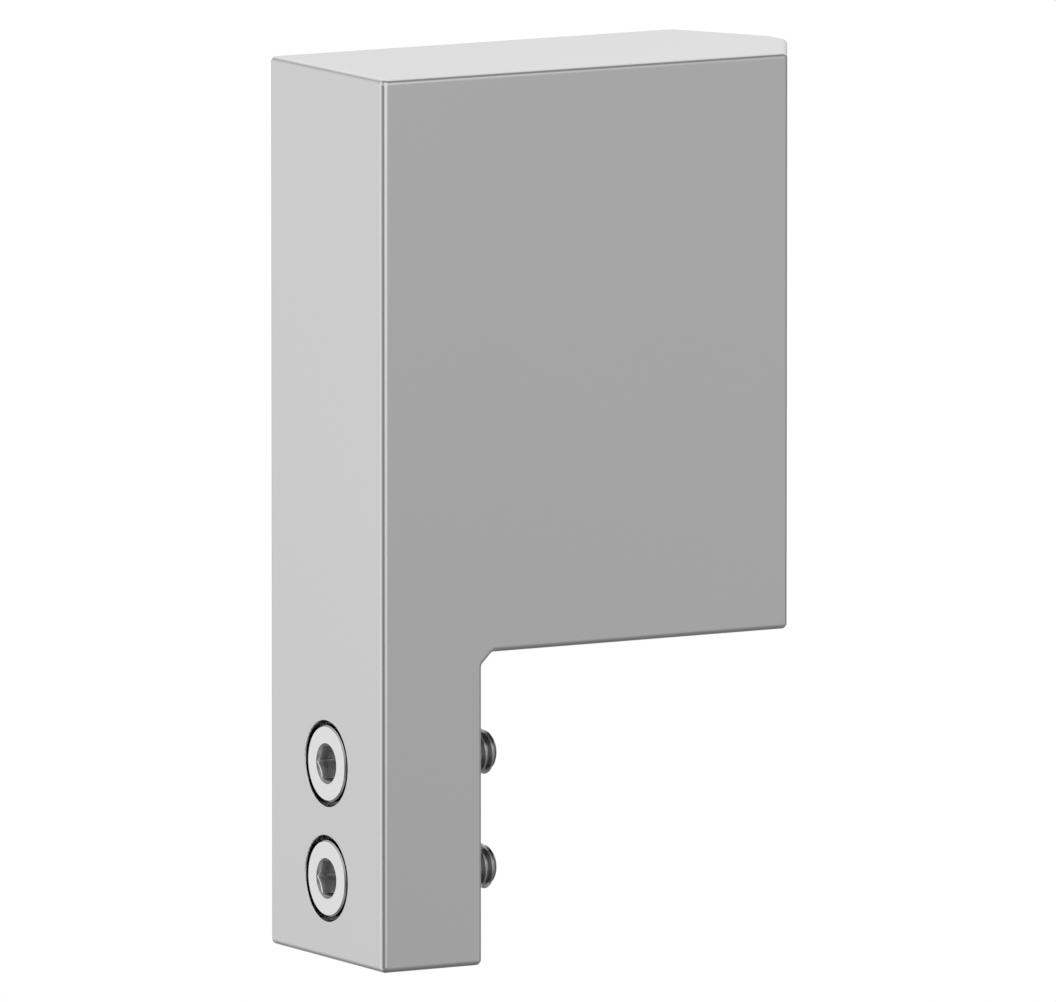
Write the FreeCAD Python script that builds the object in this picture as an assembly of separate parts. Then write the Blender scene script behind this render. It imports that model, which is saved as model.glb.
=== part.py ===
# Gripper finger jaw: one machined aluminium finger with its two mounting screws.
# The leg bolts to the gripper, and the block above it reaches inward and ends in a pointed nose.
# Frame: +Z up along the leg, +X from the mounting face towards the gripper centre.
# The origin is the middle of the two screw axes on the mounting face.
import FreeCAD, Part
import math
import os

os.makedirs("parts", exist_ok=True)
Vector = FreeCAD.Vector

# Jaw body
jaw_width = 30.0
jaw_height = 116.0
leg_thickness = 14.8
leg_height = 40.7
side_length = 60.0
nose_face_angle = 60.0
nose_flat = 4.0
notch_chamfer = 1.6
notch_blend = 0.8
edge_radius = 0.75

# Screw pattern
screw_spacing = 15.0
lower_screw_height = 10.5

# Screw, M6 x 20 with a low head
thread_diameter = 6.0
tip_diameter = 4.77
screw_length = 20.0
head_diameter = 10.0
head_height = 4.0
head_edge = 0.3
socket_flats = 4.0
socket_depth = 2.8
socket_mouth_diameter = 5.2
socket_mouth_angle = 120.0
socket_floor_angle = 140.0

# Fits and holes
head_side_clearance = 0.6
head_recess = 0.0
shank_side_clearance = 0.5
head_bore_edge = 0.12
sleeve_bore_diameter = 10.0
sleeve_bore_depth = 1.8
sleeve_mouth_chamfer = 0.45

# Positions that follow from the sizes above
outer_x = -leg_thickness
side_end_x = outer_x + side_length
half_width = jaw_width / 2
half_flat = nose_flat / 2
nose_x = side_end_x + (half_width - half_flat) / math.tan(math.radians(nose_face_angle))
bottom_z = -(lower_screw_height + screw_spacing / 2)
ceiling_z = bottom_z + leg_height
top_z = bottom_z + jaw_height
screw_heights = {
    "upper_mounting_screw": screw_spacing / 2,
    "lower_mounting_screw": -screw_spacing / 2,
}
head_face_x = outer_x + head_recess
seat_x = head_face_x + head_height
tip_x = seat_x + screw_length
tip_chamfer = (thread_diameter - tip_diameter) / 2
head_bore_diameter = head_diameter + 2 * head_side_clearance
shank_hole_diameter = thread_diameter + 2 * shank_side_clearance


def prism(points, direction):
    wire = Part.makePolygon(points + [points[0]])
    return Part.Face(wire).extrude(direction)


def cylinder_x(diameter, x_start, x_end, z):
    return Part.makeCylinder(diameter / 2, x_end - x_start, Vector(x_start, 0, z), Vector(1, 0, 0))


def turned_x(profile, z):
    # Points are (x, radius), turned around the line at height z that runs along X.
    points = [Vector(x, 0, z + radius) for x, radius in profile]
    wire = Part.makePolygon(points + [points[0]])
    return Part.Face(wire).revolve(Vector(0, 0, z), Vector(1, 0, 0), 360)


def vertices_of(edge):
    return [vertex.Point for vertex in edge.Vertexes]


def make_blank():
    # The plan gives the pointed nose, and the side view gives the notch under the block.
    plan = prism([
        Vector(outer_x, -half_width, bottom_z),
        Vector(side_end_x, -half_width, bottom_z),
        Vector(nose_x, -half_flat, bottom_z),
        Vector(nose_x, half_flat, bottom_z),
        Vector(side_end_x, half_width, bottom_z),
        Vector(outer_x, half_width, bottom_z),
    ], Vector(0, 0, jaw_height))
    side = prism([
        Vector(outer_x, -half_width, bottom_z),
        Vector(0, -half_width, bottom_z),
        Vector(0, -half_width, ceiling_z - notch_chamfer),
        Vector(notch_chamfer, -half_width, ceiling_z),
        Vector(nose_x, -half_width, ceiling_z),
        Vector(nose_x, -half_width, top_z),
        Vector(outer_x, -half_width, top_z),
    ], Vector(0, jaw_width, 0))
    blank = plan.common(side)
    blank = blank.Solids[0]

    # The two inner lines of the notch get their own small blend.
    inner_lines = []
    for edge in blank.Edges:
        ends = vertices_of(edge)
        at_leg = all(abs(p.x) < 1e-6 and abs(p.z - ceiling_z + notch_chamfer) < 1e-6 for p in ends)
        at_ceiling = all(abs(p.x - notch_chamfer) < 1e-6 and abs(p.z - ceiling_z) < 1e-6 for p in ends)
        if at_leg or at_ceiling:
            inner_lines.append(edge)
    return blank.makeFillet(notch_blend, inner_lines)


def round_outside(blank):
    # Every outside edge is broken; the lines across the notch corner stay as they are.
    outside = []
    for edge in blank.Edges:
        ends = vertices_of(edge)
        across = abs(abs(ends[0].y - ends[1].y) - jaw_width) < 1e-6
        in_corner = all(abs(p.x) < 2 * notch_chamfer and abs(p.z - ceiling_z) < 2 * notch_chamfer for p in ends)
        if not (across and in_corner):
            outside.append(edge)
    return blank.makeFillet(edge_radius, outside)


def head_bore(z):
    # Counterbore for the screw head, with a rounded mouth in the outer face.
    radius = head_bore_diameter / 2
    bore = cylinder_x(head_bore_diameter, outer_x, seat_x, z)
    ring = Part.makeCylinder(radius + head_bore_edge, head_bore_edge, Vector(outer_x, 0, z), Vector(1, 0, 0))
    rounding = Part.makeTorus(
        radius + head_bore_edge, head_bore_edge, Vector(outer_x + head_bore_edge, 0, z), Vector(1, 0, 0))
    return bore.fuse(ring.cut(rounding))


def sleeve_bore(z):
    # Flat bore for a centring sleeve in the mounting face, with a chamfered mouth.
    radius = sleeve_bore_diameter / 2
    return turned_x([
        (-sleeve_bore_depth, 0),
        (-sleeve_bore_depth, radius),
        (-sleeve_mouth_chamfer, radius),
        (0, radius + sleeve_mouth_chamfer),
        (1, radius + sleeve_mouth_chamfer),
        (1, 0),
    ], z)


def make_jaw():
    jaw = round_outside(make_blank())
    for z in screw_heights.values():
        jaw = jaw.cut(cylinder_x(shank_hole_diameter, outer_x - 1, 1, z))
        jaw = jaw.cut(head_bore(z))
        jaw = jaw.cut(sleeve_bore(z))
    return jaw.Solids[0]


def make_screw(z):
    head_radius = head_diameter / 2
    thread_radius = thread_diameter / 2
    screw = turned_x([
        (head_face_x, 0),
        (head_face_x, head_radius - head_edge),
        (head_face_x + head_edge, head_radius),
        (seat_x, head_radius),
        (seat_x, thread_radius),
        (tip_x - tip_chamfer, thread_radius),
        (tip_x, tip_diameter / 2),
        (tip_x, 0),
    ], z)

    # Hexagon socket with two corners level, a shallow cone at its mouth and a drilled floor.
    corner_radius = socket_flats / math.sqrt(3)
    corners = []
    for step in range(6):
        angle = math.radians(60 * step)
        corners.append(Vector(head_face_x, corner_radius * math.cos(angle), z + corner_radius * math.sin(angle)))
    socket = prism(corners, Vector(socket_depth, 0, 0))
    mouth_radius = socket_mouth_diameter / 2
    mouth_depth = mouth_radius / math.tan(math.radians(socket_mouth_angle / 2))
    mouth = turned_x([(head_face_x, 0), (head_face_x, mouth_radius), (head_face_x + mouth_depth, 0)], z)
    floor_radius = socket_flats / 2
    floor_x = head_face_x + socket_depth
    floor_depth = floor_radius / math.tan(math.radians(socket_floor_angle / 2))
    floor = turned_x([(floor_x, 0), (floor_x, floor_radius), (floor_x + floor_depth, 0)], z)
    return screw.cut(socket.fuse([mouth, floor])).Solids[0]


make_jaw().exportStep("parts/jaw_body.step")
for name, z in screw_heights.items():
    make_screw(z).exportStep("parts/" + name + ".step")
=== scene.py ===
import math

import bmesh
import bpy
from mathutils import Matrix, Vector


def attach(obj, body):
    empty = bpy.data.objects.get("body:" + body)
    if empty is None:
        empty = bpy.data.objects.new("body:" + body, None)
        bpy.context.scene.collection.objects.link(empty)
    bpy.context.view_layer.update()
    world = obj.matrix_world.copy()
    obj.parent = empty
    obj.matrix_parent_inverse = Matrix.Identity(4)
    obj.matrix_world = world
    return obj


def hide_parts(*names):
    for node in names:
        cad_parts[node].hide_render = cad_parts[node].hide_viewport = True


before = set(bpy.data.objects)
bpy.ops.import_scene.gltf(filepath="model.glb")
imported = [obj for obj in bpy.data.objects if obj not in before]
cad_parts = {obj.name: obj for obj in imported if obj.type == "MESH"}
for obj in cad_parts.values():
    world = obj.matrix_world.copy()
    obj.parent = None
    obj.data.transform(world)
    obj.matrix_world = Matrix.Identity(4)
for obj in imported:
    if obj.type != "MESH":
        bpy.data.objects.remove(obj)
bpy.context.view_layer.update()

MM = 0.001

# Camera, solved from the edges in the photograph. PHOTO_CENTRE is the point that lies in the middle of
# the photograph. The eye keeps its place, and turns from there to the middle of the jaw.
VIEW_AZIMUTH = -30.084
VIEW_ELEVATION = 7.749
VIEW_DISTANCE = 3.672
PHOTO_CENTRE = Vector((0.0556, 0.0, 0.0407))
JAW_CENTRE = Vector((0.0249, 0.0172, 0.0370))
FOCAL_PIXELS = 28197.0
IMAGE_WIDTH = 1056.0
SENSOR = 36.0
CLIP_NEAR = 0.1
CLIP_FAR = 50.0

# Studio: white all round, with a tent that only reflections see
FLOOR_Z = -0.95
FLOOR_RADIUS = 20.0
FLOOR_SIDES = 64
FLOOR_SHADE = 0.9
TENT_CENTRE = (0.02, 0.0, 0.04)
TENT_RADIUS = 0.9
TENT_SUBDIVISIONS = 4
TENT_LEVEL = 0.29
TENT_DARKEST = 0.02
# Azimuth from -X towards -Y, elevation, full and faded radius, all in degrees, and what the panel adds
TENT_PANELS = {
    "back_high": (-128.0, 43.5, 21.5, 51.5, 0.76),
    "left_wall": (-22.0, 3.0, 7.0, 67.0, 0.73),
    "front_high": (78.5, 23.0, 26.5, 42.0, 1.20),
    "front_right": (130.0, 4.5, 2.0, 44.0, 0.25),
    "left_gap": (9.0, -9.0, 17.0, 28.0, -0.42),
    "back_left": (-88.0, -6.0, 10.0, 30.0, 0.27),
    "back_low": (-124.0, -18.0, 6.0, 24.0, 0.50),
}
# Downwards the tent darkens: from where to where on the downward part of the direction, and by how much
TENT_LOW_FROM = 0.645
TENT_LOW_TO = 1.165
TENT_LOW_DIM = 0.76

# Body finish: tones and roughness drift over the surface, each between two close values. Nearly all of
# the noise lies between NOISE_LOW and NOISE_HIGH. Every metal here has a little less blue.
NOISE_LOW = 0.3
NOISE_HIGH = 0.7
GRAIN_DETAIL = 2.0
BODY_GRAIN = 5200.0
BODY_TONES = (0.675, 0.725)
BODY_DRIFT = 45.0
BODY_DRIFT_DETAIL = 3.0
BODY_ROUGHNESS = (0.185, 0.215)
BODY_BUMP = 0.03
BODY_BUMP_HEIGHT = 0.00001
BLUE_SHARE = 0.998

# Screw, M6 with a low head, in millimetres: its edges and socket are drawn as the photograph shows them
SCREW_HEIGHTS = {"upper_mounting_screw": 7.5, "lower_mounting_screw": -7.5}
AROUND = 96
HEAD_FACE_X = -14.8
HEAD_HEIGHT = 4.0
HEAD_RADIUS = 5.0
HEAD_EDGE = 0.21
EDGE_BREAK = 0.03
SEAT_EDGE = 0.1
TIP_X = 9.2
TIP_RADIUS = 2.25
THREAD_RADIUS = 3.0
THREAD_PITCH = 1.0
THREAD_DEPTH = 0.6
THREAD_START_X = 0.0
THREAD_TURN = -0.25
THREAD_STEPS = 16
# Half widths of the crest and of the thread down to its root, in turns
THREAD_CREST = 1 / 16
THREAD_FOOT = 6 / 16
SOCKET_FLATS = 4.35
SOCKET_CORNER = 2.49
SOCKET_DEPTH = 2.8
SOCKET_DRILL_DEPTH = 0.5
SOCKET_MOUTH_RADIUS = 2.66
SOCKET_MOUTH_SLOPE = math.tan(math.radians(30.0))
SOCKET_LIP = 0.06
SOCKET_LIP_DEPTH = 0.13
# Edges that bend by more than this look sharp, and points closer than the next number, in metres, are one
SHARP_ANGLE = math.radians(25.0)
MERGE_DISTANCE = 1e-7

# Screw finishes: how light the steel is, its lowest and highest roughness, and the scale of its grain
SCREW_FINISHES = {
    # The steel's own tone; each finish below is this steel with painted shade
    "plated_steel": (0.88, 0.15, 0.19, 3000.0),
    # Painted shade, light: the thread's crests and the edge round the head's face
    "crest_and_edge_painted_shade": (0.60, 0.19, 0.23, 900.0),
    # Painted shade: the thread's flanks
    "flank_painted_shade": (0.38, 0.17, 0.21, 900.0),
    # Painted shade, deepest: the socket's mouth and the head's side down in its gap
    "deep_painted_shade": (0.27, 0.17, 0.21, 900.0),
    # Painted shade in the socket's recess, on rougher steel
    "rough_socket_painted_shade": (0.56, 0.27, 0.33, 900.0),
}
PLATED, CREST_AND_EDGE_SHADE, FLANK_SHADE, DEEP_SHADE, SOCKET_SHADE = range(len(SCREW_FINISHES))
STEEL_DRIFT = 0.02


def new_material(name, roughness):
    material = bpy.data.materials.new(name)
    material.use_nodes = True
    shader = material.node_tree.nodes["Principled BSDF"]
    shader.inputs["Roughness"].default_value = roughness
    shader.inputs["Metallic"].default_value = 1.0
    return material, shader


def add_noise(material, scale, detail):
    nodes, links = material.node_tree.nodes, material.node_tree.links
    place = nodes.new("ShaderNodeTexCoord")
    noise = nodes.new("ShaderNodeTexNoise")
    noise.inputs["Scale"].default_value = scale
    noise.inputs["Detail"].default_value = detail
    links.new(place.outputs["Object"], noise.inputs["Vector"])
    return noise.outputs["Fac"]


def remap(material, value, low, high):
    nodes, links = material.node_tree.nodes, material.node_tree.links
    node = nodes.new("ShaderNodeMapRange")
    node.inputs["From Min"].default_value = NOISE_LOW
    node.inputs["From Max"].default_value = NOISE_HIGH
    node.inputs["To Min"].default_value = low
    node.inputs["To Max"].default_value = high
    links.new(value, node.inputs["Value"])
    return node.outputs["Result"]


def add_tone(material, shader, value, dark, light):
    # Colour that drifts between two close tones over the surface
    nodes, links = material.node_tree.nodes, material.node_tree.links
    blend = nodes.new("ShaderNodeMix")
    blend.data_type = "RGBA"
    links.new(value, blend.inputs["Factor"])
    tones = [socket for socket in blend.inputs if socket.type == "RGBA"]
    for socket, level in zip(tones, (dark, light)):
        socket.default_value = (level, level, level * BLUE_SHARE, 1.0)
    result = [socket for socket in blend.outputs if socket.type == "RGBA"][0]
    links.new(result, shader.inputs["Base Color"])


def add_bump(material, shader, value, strength, distance):
    nodes, links = material.node_tree.nodes, material.node_tree.links
    bump = nodes.new("ShaderNodeBump")
    bump.inputs["Strength"].default_value = strength
    bump.inputs["Distance"].default_value = distance
    links.new(value, bump.inputs["Height"])
    links.new(bump.outputs["Normal"], shader.inputs["Normal"])


def satin_aluminium():
    material, shader = new_material("satin_aluminium", sum(BODY_ROUGHNESS) / 2)
    links = material.node_tree.links
    fine = add_noise(material, BODY_GRAIN, GRAIN_DETAIL)
    broad = add_noise(material, BODY_DRIFT, BODY_DRIFT_DETAIL)
    add_tone(material, shader, remap(material, fine, 0.0, 1.0), *BODY_TONES)
    links.new(remap(material, broad, *BODY_ROUGHNESS), shader.inputs["Roughness"])
    add_bump(material, shader, fine, BODY_BUMP, BODY_BUMP_HEIGHT)
    return material


def steel(name, level, low, high, scale):
    material, shader = new_material(name, (low + high) / 2)
    links = material.node_tree.links
    fine = add_noise(material, scale, GRAIN_DETAIL)
    dark, light = level * (1.0 - STEEL_DRIFT), level * (1.0 + STEEL_DRIFT)
    add_tone(material, shader, remap(material, fine, 0.0, 1.0), dark, light)
    links.new(remap(material, fine, low, high), shader.inputs["Roughness"])
    return material


def add_camera():
    a, e = math.radians(VIEW_AZIMUTH), math.radians(VIEW_ELEVATION)
    back = Vector((math.sin(a) * math.cos(e), -math.cos(a) * math.cos(e), math.sin(e)))
    data = bpy.data.cameras.new("camera")
    data.sensor_fit = "HORIZONTAL"
    data.sensor_width = SENSOR
    data.lens = FOCAL_PIXELS * SENSOR / IMAGE_WIDTH
    data.clip_start = CLIP_NEAR
    data.clip_end = CLIP_FAR
    camera = bpy.data.objects.new("camera", data)
    bpy.context.scene.collection.objects.link(camera)
    camera.location = PHOTO_CENTRE + back * VIEW_DISTANCE
    aim = JAW_CENTRE - camera.location
    camera.rotation_euler = aim.to_track_quat("-Z", "Y").to_euler()
    bpy.context.scene.camera = camera


def build_world():
    scene = bpy.context.scene
    scene.view_settings.view_transform = "Standard"
    world = bpy.data.worlds.new("studio")
    scene.world = world
    world.use_nodes = True
    background = world.node_tree.nodes["Background"]
    background.inputs["Color"].default_value = (1.0, 1.0, 1.0, 1.0)
    background.inputs["Strength"].default_value = 1.0
    world.cycles.sampling_method = "NONE"


def build_floor():
    bm = bmesh.new()
    bmesh.ops.create_circle(bm, cap_ends=True, segments=FLOOR_SIDES, radius=FLOOR_RADIUS)
    mesh = bpy.data.meshes.new("floor")
    bm.to_mesh(mesh)
    bm.free()
    floor = bpy.data.objects.new("floor", mesh)
    floor.location.z = FLOOR_Z
    bpy.context.scene.collection.objects.link(floor)
    material = bpy.data.materials.new("pale_floor")
    material.use_nodes = True
    nodes, links = material.node_tree.nodes, material.node_tree.links
    nodes.clear()
    paint = nodes.new("ShaderNodeBsdfDiffuse")
    paint.inputs["Color"].default_value = (FLOOR_SHADE, FLOOR_SHADE, FLOOR_SHADE, 1.0)
    glow = nodes.new("ShaderNodeEmission")
    path = nodes.new("ShaderNodeLightPath")
    seen = path.outputs["Is Camera Ray"]
    for name in ("Is Glossy Ray", "Is Transmission Ray"):
        either = nodes.new("ShaderNodeMath")
        either.operation = "MAXIMUM"
        links.new(seen, either.inputs[0])
        links.new(path.outputs[name], either.inputs[1])
        seen = either.outputs[0]
    strength = nodes.new("ShaderNodeMath")
    strength.operation = "MULTIPLY"
    strength.inputs[1].default_value = 1.0 - FLOOR_SHADE
    links.new(seen, strength.inputs[0])
    links.new(strength.outputs[0], glow.inputs["Strength"])
    both = nodes.new("ShaderNodeAddShader")
    out = nodes.new("ShaderNodeOutputMaterial")
    links.new(paint.outputs[0], both.inputs[0])
    links.new(glow.outputs[0], both.inputs[1])
    links.new(both.outputs[0], out.inputs["Surface"])
    mesh.materials.append(material)


def tent_cloth():
    # Cloth that lets the white studio through, thinner where a panel would be
    material = bpy.data.materials.new("tent_cloth")
    material.use_nodes = True
    nodes, links = material.node_tree.nodes, material.node_tree.links
    nodes.clear()
    place = nodes.new("ShaderNodeTexCoord")
    unit = nodes.new("ShaderNodeVectorMath")
    unit.operation = "NORMALIZE"
    links.new(place.outputs["Object"], unit.inputs[0])
    direction = unit.outputs["Vector"]

    def math_node(kind, a, b):
        node = nodes.new("ShaderNodeMath")
        node.operation = kind
        for socket, value in zip(node.inputs, (a, b)):
            if isinstance(value, (int, float)):
                socket.default_value = value
            else:
                links.new(value, socket)
        return node.outputs[0]

    def smooth_step(value, start, end, low, high):
        node = nodes.new("ShaderNodeMapRange")
        node.interpolation_type = "SMOOTHSTEP"
        for name, number in (("From Min", start), ("From Max", end), ("To Min", low), ("To Max", high)):
            node.inputs[name].default_value = number
        links.new(value, node.inputs["Value"])
        return node.outputs["Result"]

    level = TENT_LEVEL
    for azimuth, elevation, full, faded, brightness in TENT_PANELS.values():
        z, e = math.radians(azimuth), math.radians(elevation)
        full_at, faded_at = math.cos(math.radians(full)), math.cos(math.radians(faded))
        aim = nodes.new("ShaderNodeVectorMath")
        aim.operation = "DOT_PRODUCT"
        links.new(direction, aim.inputs[0])
        aim.inputs[1].default_value = (-math.cos(z) * math.cos(e), -math.sin(z) * math.cos(e), math.sin(e))
        panel = smooth_step(aim.outputs["Value"], faded_at, full_at, 0.0, brightness)
        level = math_node("ADD", panel, level)
    split = nodes.new("ShaderNodeSeparateXYZ")
    links.new(direction, split.inputs[0])
    down = math_node("MULTIPLY", split.outputs["Z"], -1.0)
    dimming = smooth_step(down, TENT_LOW_FROM, TENT_LOW_TO, 1.0, 1.0 - TENT_LOW_DIM)
    level = math_node("MULTIPLY", level, dimming)
    level = math_node("MINIMUM", math_node("MAXIMUM", level, TENT_DARKEST), 1.0)
    tint = nodes.new("ShaderNodeCombineColor")
    for socket in tint.inputs:
        links.new(level, socket)
    cloth = nodes.new("ShaderNodeBsdfTransparent")
    out = nodes.new("ShaderNodeOutputMaterial")
    links.new(tint.outputs[0], cloth.inputs["Color"])
    links.new(cloth.outputs[0], out.inputs["Surface"])
    return material


def build_tent():
    bm = bmesh.new()
    bmesh.ops.create_icosphere(bm, subdivisions=TENT_SUBDIVISIONS, radius=TENT_RADIUS)
    mesh = bpy.data.meshes.new("light_tent")
    bm.to_mesh(mesh)
    bm.free()
    mesh.materials.append(tent_cloth())
    tent = bpy.data.objects.new("light_tent", mesh)
    tent.location = TENT_CENTRE
    tent.visible_camera = False
    tent.visible_diffuse = False
    tent.visible_shadow = False
    bpy.context.scene.collection.objects.link(tent)


def ring(bm, xs, radii, z):
    # One turn of points round the screw; xs and radii are one number, or one for each point
    loop = []
    for i in range(AROUND):
        t = 2 * math.pi * i / AROUND
        x = xs[i] if isinstance(xs, list) else xs
        r = radii[i] if isinstance(radii, list) else radii
        loop.append(bm.verts.new((x * MM, r * math.cos(t) * MM, (z + r * math.sin(t)) * MM)))
    return loop


def bridge(bm, first, second, finish):
    for i in range(AROUND):
        j = (i + 1) % AROUND
        face = bm.faces.new((first[i], second[i], second[j], first[j]))
        face.material_index = finish


def cap(bm, loop, x, z, finish):
    centre = bm.verts.new((x * MM, 0.0, z * MM))
    for i in range(AROUND):
        face = bm.faces.new((loop[i], centre, loop[(i + 1) % AROUND]))
        face.material_index = finish


def hexagon(grow):
    # Radii of a hexagon with its corners cut back, made larger all round by grow
    radii = []
    for i in range(AROUND):
        t = 2 * math.pi * i / AROUND
        side = t % (math.pi / 3) - math.pi / 6
        radii.append(min(SOCKET_FLATS / 2 / math.cos(side), SOCKET_CORNER) + grow)
    return radii


def add_head(bm, z):
    # Turned head with its hexagon socket, from the socket floor out and back to the shank. Each row has
    # the place and the radius of a ring, and the finish of the band that starts there.
    walls, lip = hexagon(0.0), hexagon(SOCKET_LIP)
    lip_x = [HEAD_FACE_X + (SOCKET_MOUTH_RADIUS - r) * SOCKET_MOUTH_SLOPE for r in lip]
    floor_x = HEAD_FACE_X + SOCKET_DEPTH
    flat_radius = HEAD_RADIUS - HEAD_EDGE
    side_x = HEAD_FACE_X + HEAD_EDGE
    seat_x = HEAD_FACE_X + HEAD_HEIGHT
    small = EDGE_BREAK / 3
    rows = [
        # Floor and walls of the socket: painted shade, as in a recess
        (floor_x, [r - EDGE_BREAK for r in walls], SOCKET_SHADE),
        (floor_x - EDGE_BREAK, walls, SOCKET_SHADE),
        ([x + SOCKET_LIP_DEPTH for x in lip_x], walls, PLATED),
        # The mouth cone: deep painted shade
        (lip_x, lip, DEEP_SHADE),
        (HEAD_FACE_X, SOCKET_MOUTH_RADIUS, PLATED),
        (HEAD_FACE_X, SOCKET_MOUTH_RADIUS + EDGE_BREAK, PLATED),
        (HEAD_FACE_X, flat_radius - 2 * EDGE_BREAK, PLATED),
        (HEAD_FACE_X, flat_radius - EDGE_BREAK, PLATED),
        # The edge round the head's face: painted shade
        (HEAD_FACE_X + small, flat_radius, CREST_AND_EDGE_SHADE),
        (HEAD_FACE_X + small + EDGE_BREAK, flat_radius + EDGE_BREAK, CREST_AND_EDGE_SHADE),
        (side_x - EDGE_BREAK, HEAD_RADIUS - small - EDGE_BREAK, CREST_AND_EDGE_SHADE),
        # The head's side and the seat's edge, down in the gap round the head: deep painted shade
        (side_x, HEAD_RADIUS - small, DEEP_SHADE),
        (side_x + EDGE_BREAK, HEAD_RADIUS, DEEP_SHADE),
        (side_x + 2 * EDGE_BREAK, HEAD_RADIUS, DEEP_SHADE),
        (seat_x - SEAT_EDGE, HEAD_RADIUS, DEEP_SHADE),
        (seat_x, HEAD_RADIUS - SEAT_EDGE, DEEP_SHADE),
        (seat_x, THREAD_RADIUS, PLATED),
        (THREAD_START_X, THREAD_RADIUS, PLATED),
    ]
    loops = [ring(bm, x, radii, z) for x, radii, finish in rows]
    for first, second, row in zip(loops, loops[1:], rows):
        bridge(bm, first, second, row[2])
    # The corners of the socket keep the bright steel, a painted highlight along each corner between the
    # shaded walls
    corners = loops[1][::AROUND // 6]
    for face in bm.faces:
        if face.material_index == SOCKET_SHADE and any(corner in face.verts for corner in corners):
            face.material_index = PLATED
    cap(bm, loops[0], floor_x + SOCKET_DRILL_DEPTH, z, SOCKET_SHADE)


def thread_radius(x, turn):
    # Sixty degree flanks with a flat crest and root, cut back by the chamfer at the tip
    if x <= THREAD_START_X:
        return THREAD_RADIUS
    off = abs(turn - round(turn))
    depth = (off - THREAD_CREST) / (THREAD_FOOT - THREAD_CREST)
    return min(THREAD_RADIUS - THREAD_DEPTH * min(max(depth, 0.0), 1.0), TIP_RADIUS + (TIP_X - x))


def add_thread(bm, z):
    # A right-handed helix: each row of points climbs one pitch on its way round
    first = int(THREAD_START_X / THREAD_PITCH - THREAD_TURN - 2) * THREAD_STEPS
    last = int(TIP_X / THREAD_PITCH - THREAD_TURN + 1) * THREAD_STEPS
    rows = []
    for k in range(first, last + THREAD_STEPS + 1):
        row = []
        for i in range(AROUND):
            t = 2 * math.pi * i / AROUND
            x = (k / THREAD_STEPS + i / AROUND + THREAD_TURN) * THREAD_PITCH
            x = min(max(x, THREAD_START_X), TIP_X)
            r = thread_radius(x, k / THREAD_STEPS)
            row.append(bm.verts.new((x * MM, r * math.cos(t) * MM, (z + r * math.sin(t)) * MM)))
        rows.append(row)
    # The crest and the top of one flank get the lighter painted shade, the rest of the thread the darker
    # painted shade
    rubbed = (THREAD_STEPS - 2, THREAD_STEPS - 1, 0)
    for k in range(last - first):
        for i in range(AROUND):
            low, high = rows[k], rows[k + 1]
            if i + 1 < AROUND:
                corners = (low[i], high[i], high[i + 1], low[i + 1])
            else:
                corners = (low[i], high[i], rows[k + 1 + THREAD_STEPS][0], rows[k + THREAD_STEPS][0])
            face = bm.faces.new(corners)
            face.material_index = CREST_AND_EDGE_SHADE if k % THREAD_STEPS in rubbed else FLANK_SHADE
    end = ring(bm, TIP_X, TIP_RADIUS, z)
    cap(bm, end, TIP_X, z, PLATED)


def add_screw(name, z, finishes):
    bm = bmesh.new()
    add_head(bm, z)
    add_thread(bm, z)
    bmesh.ops.remove_doubles(bm, verts=bm.verts, dist=MERGE_DISTANCE)
    bmesh.ops.dissolve_degenerate(bm, edges=bm.edges, dist=MERGE_DISTANCE)
    # Rows past the ends of the thread have shrunk to nothing, and leave points without faces
    loose = [v for v in bm.verts if not v.link_faces]
    bmesh.ops.delete(bm, geom=loose, context="VERTS")
    bmesh.ops.recalc_face_normals(bm, faces=bm.faces)
    mesh = bpy.data.meshes.new(name + "_turned")
    bm.to_mesh(mesh)
    bm.free()
    for polygon in mesh.polygons:
        polygon.use_smooth = True
    mesh.set_sharp_from_angle(angle=SHARP_ANGLE)
    for material in finishes:
        mesh.materials.append(material)
    screw = bpy.data.objects.new(name + "_turned", mesh)
    bpy.context.scene.collection.objects.link(screw)
    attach(screw, "root")
    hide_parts(name)


def dress_jaw():
    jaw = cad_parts["jaw_body"]
    jaw.data.materials.clear()
    jaw.data.materials.append(satin_aluminium())


add_camera()
build_world()
build_floor()
build_tent()
dress_jaw()
screw_finishes = [steel(name, *values) for name, values in SCREW_FINISHES.items()]
for node_name, height in SCREW_HEIGHTS.items():
    add_screw(node_name, height, screw_finishes)
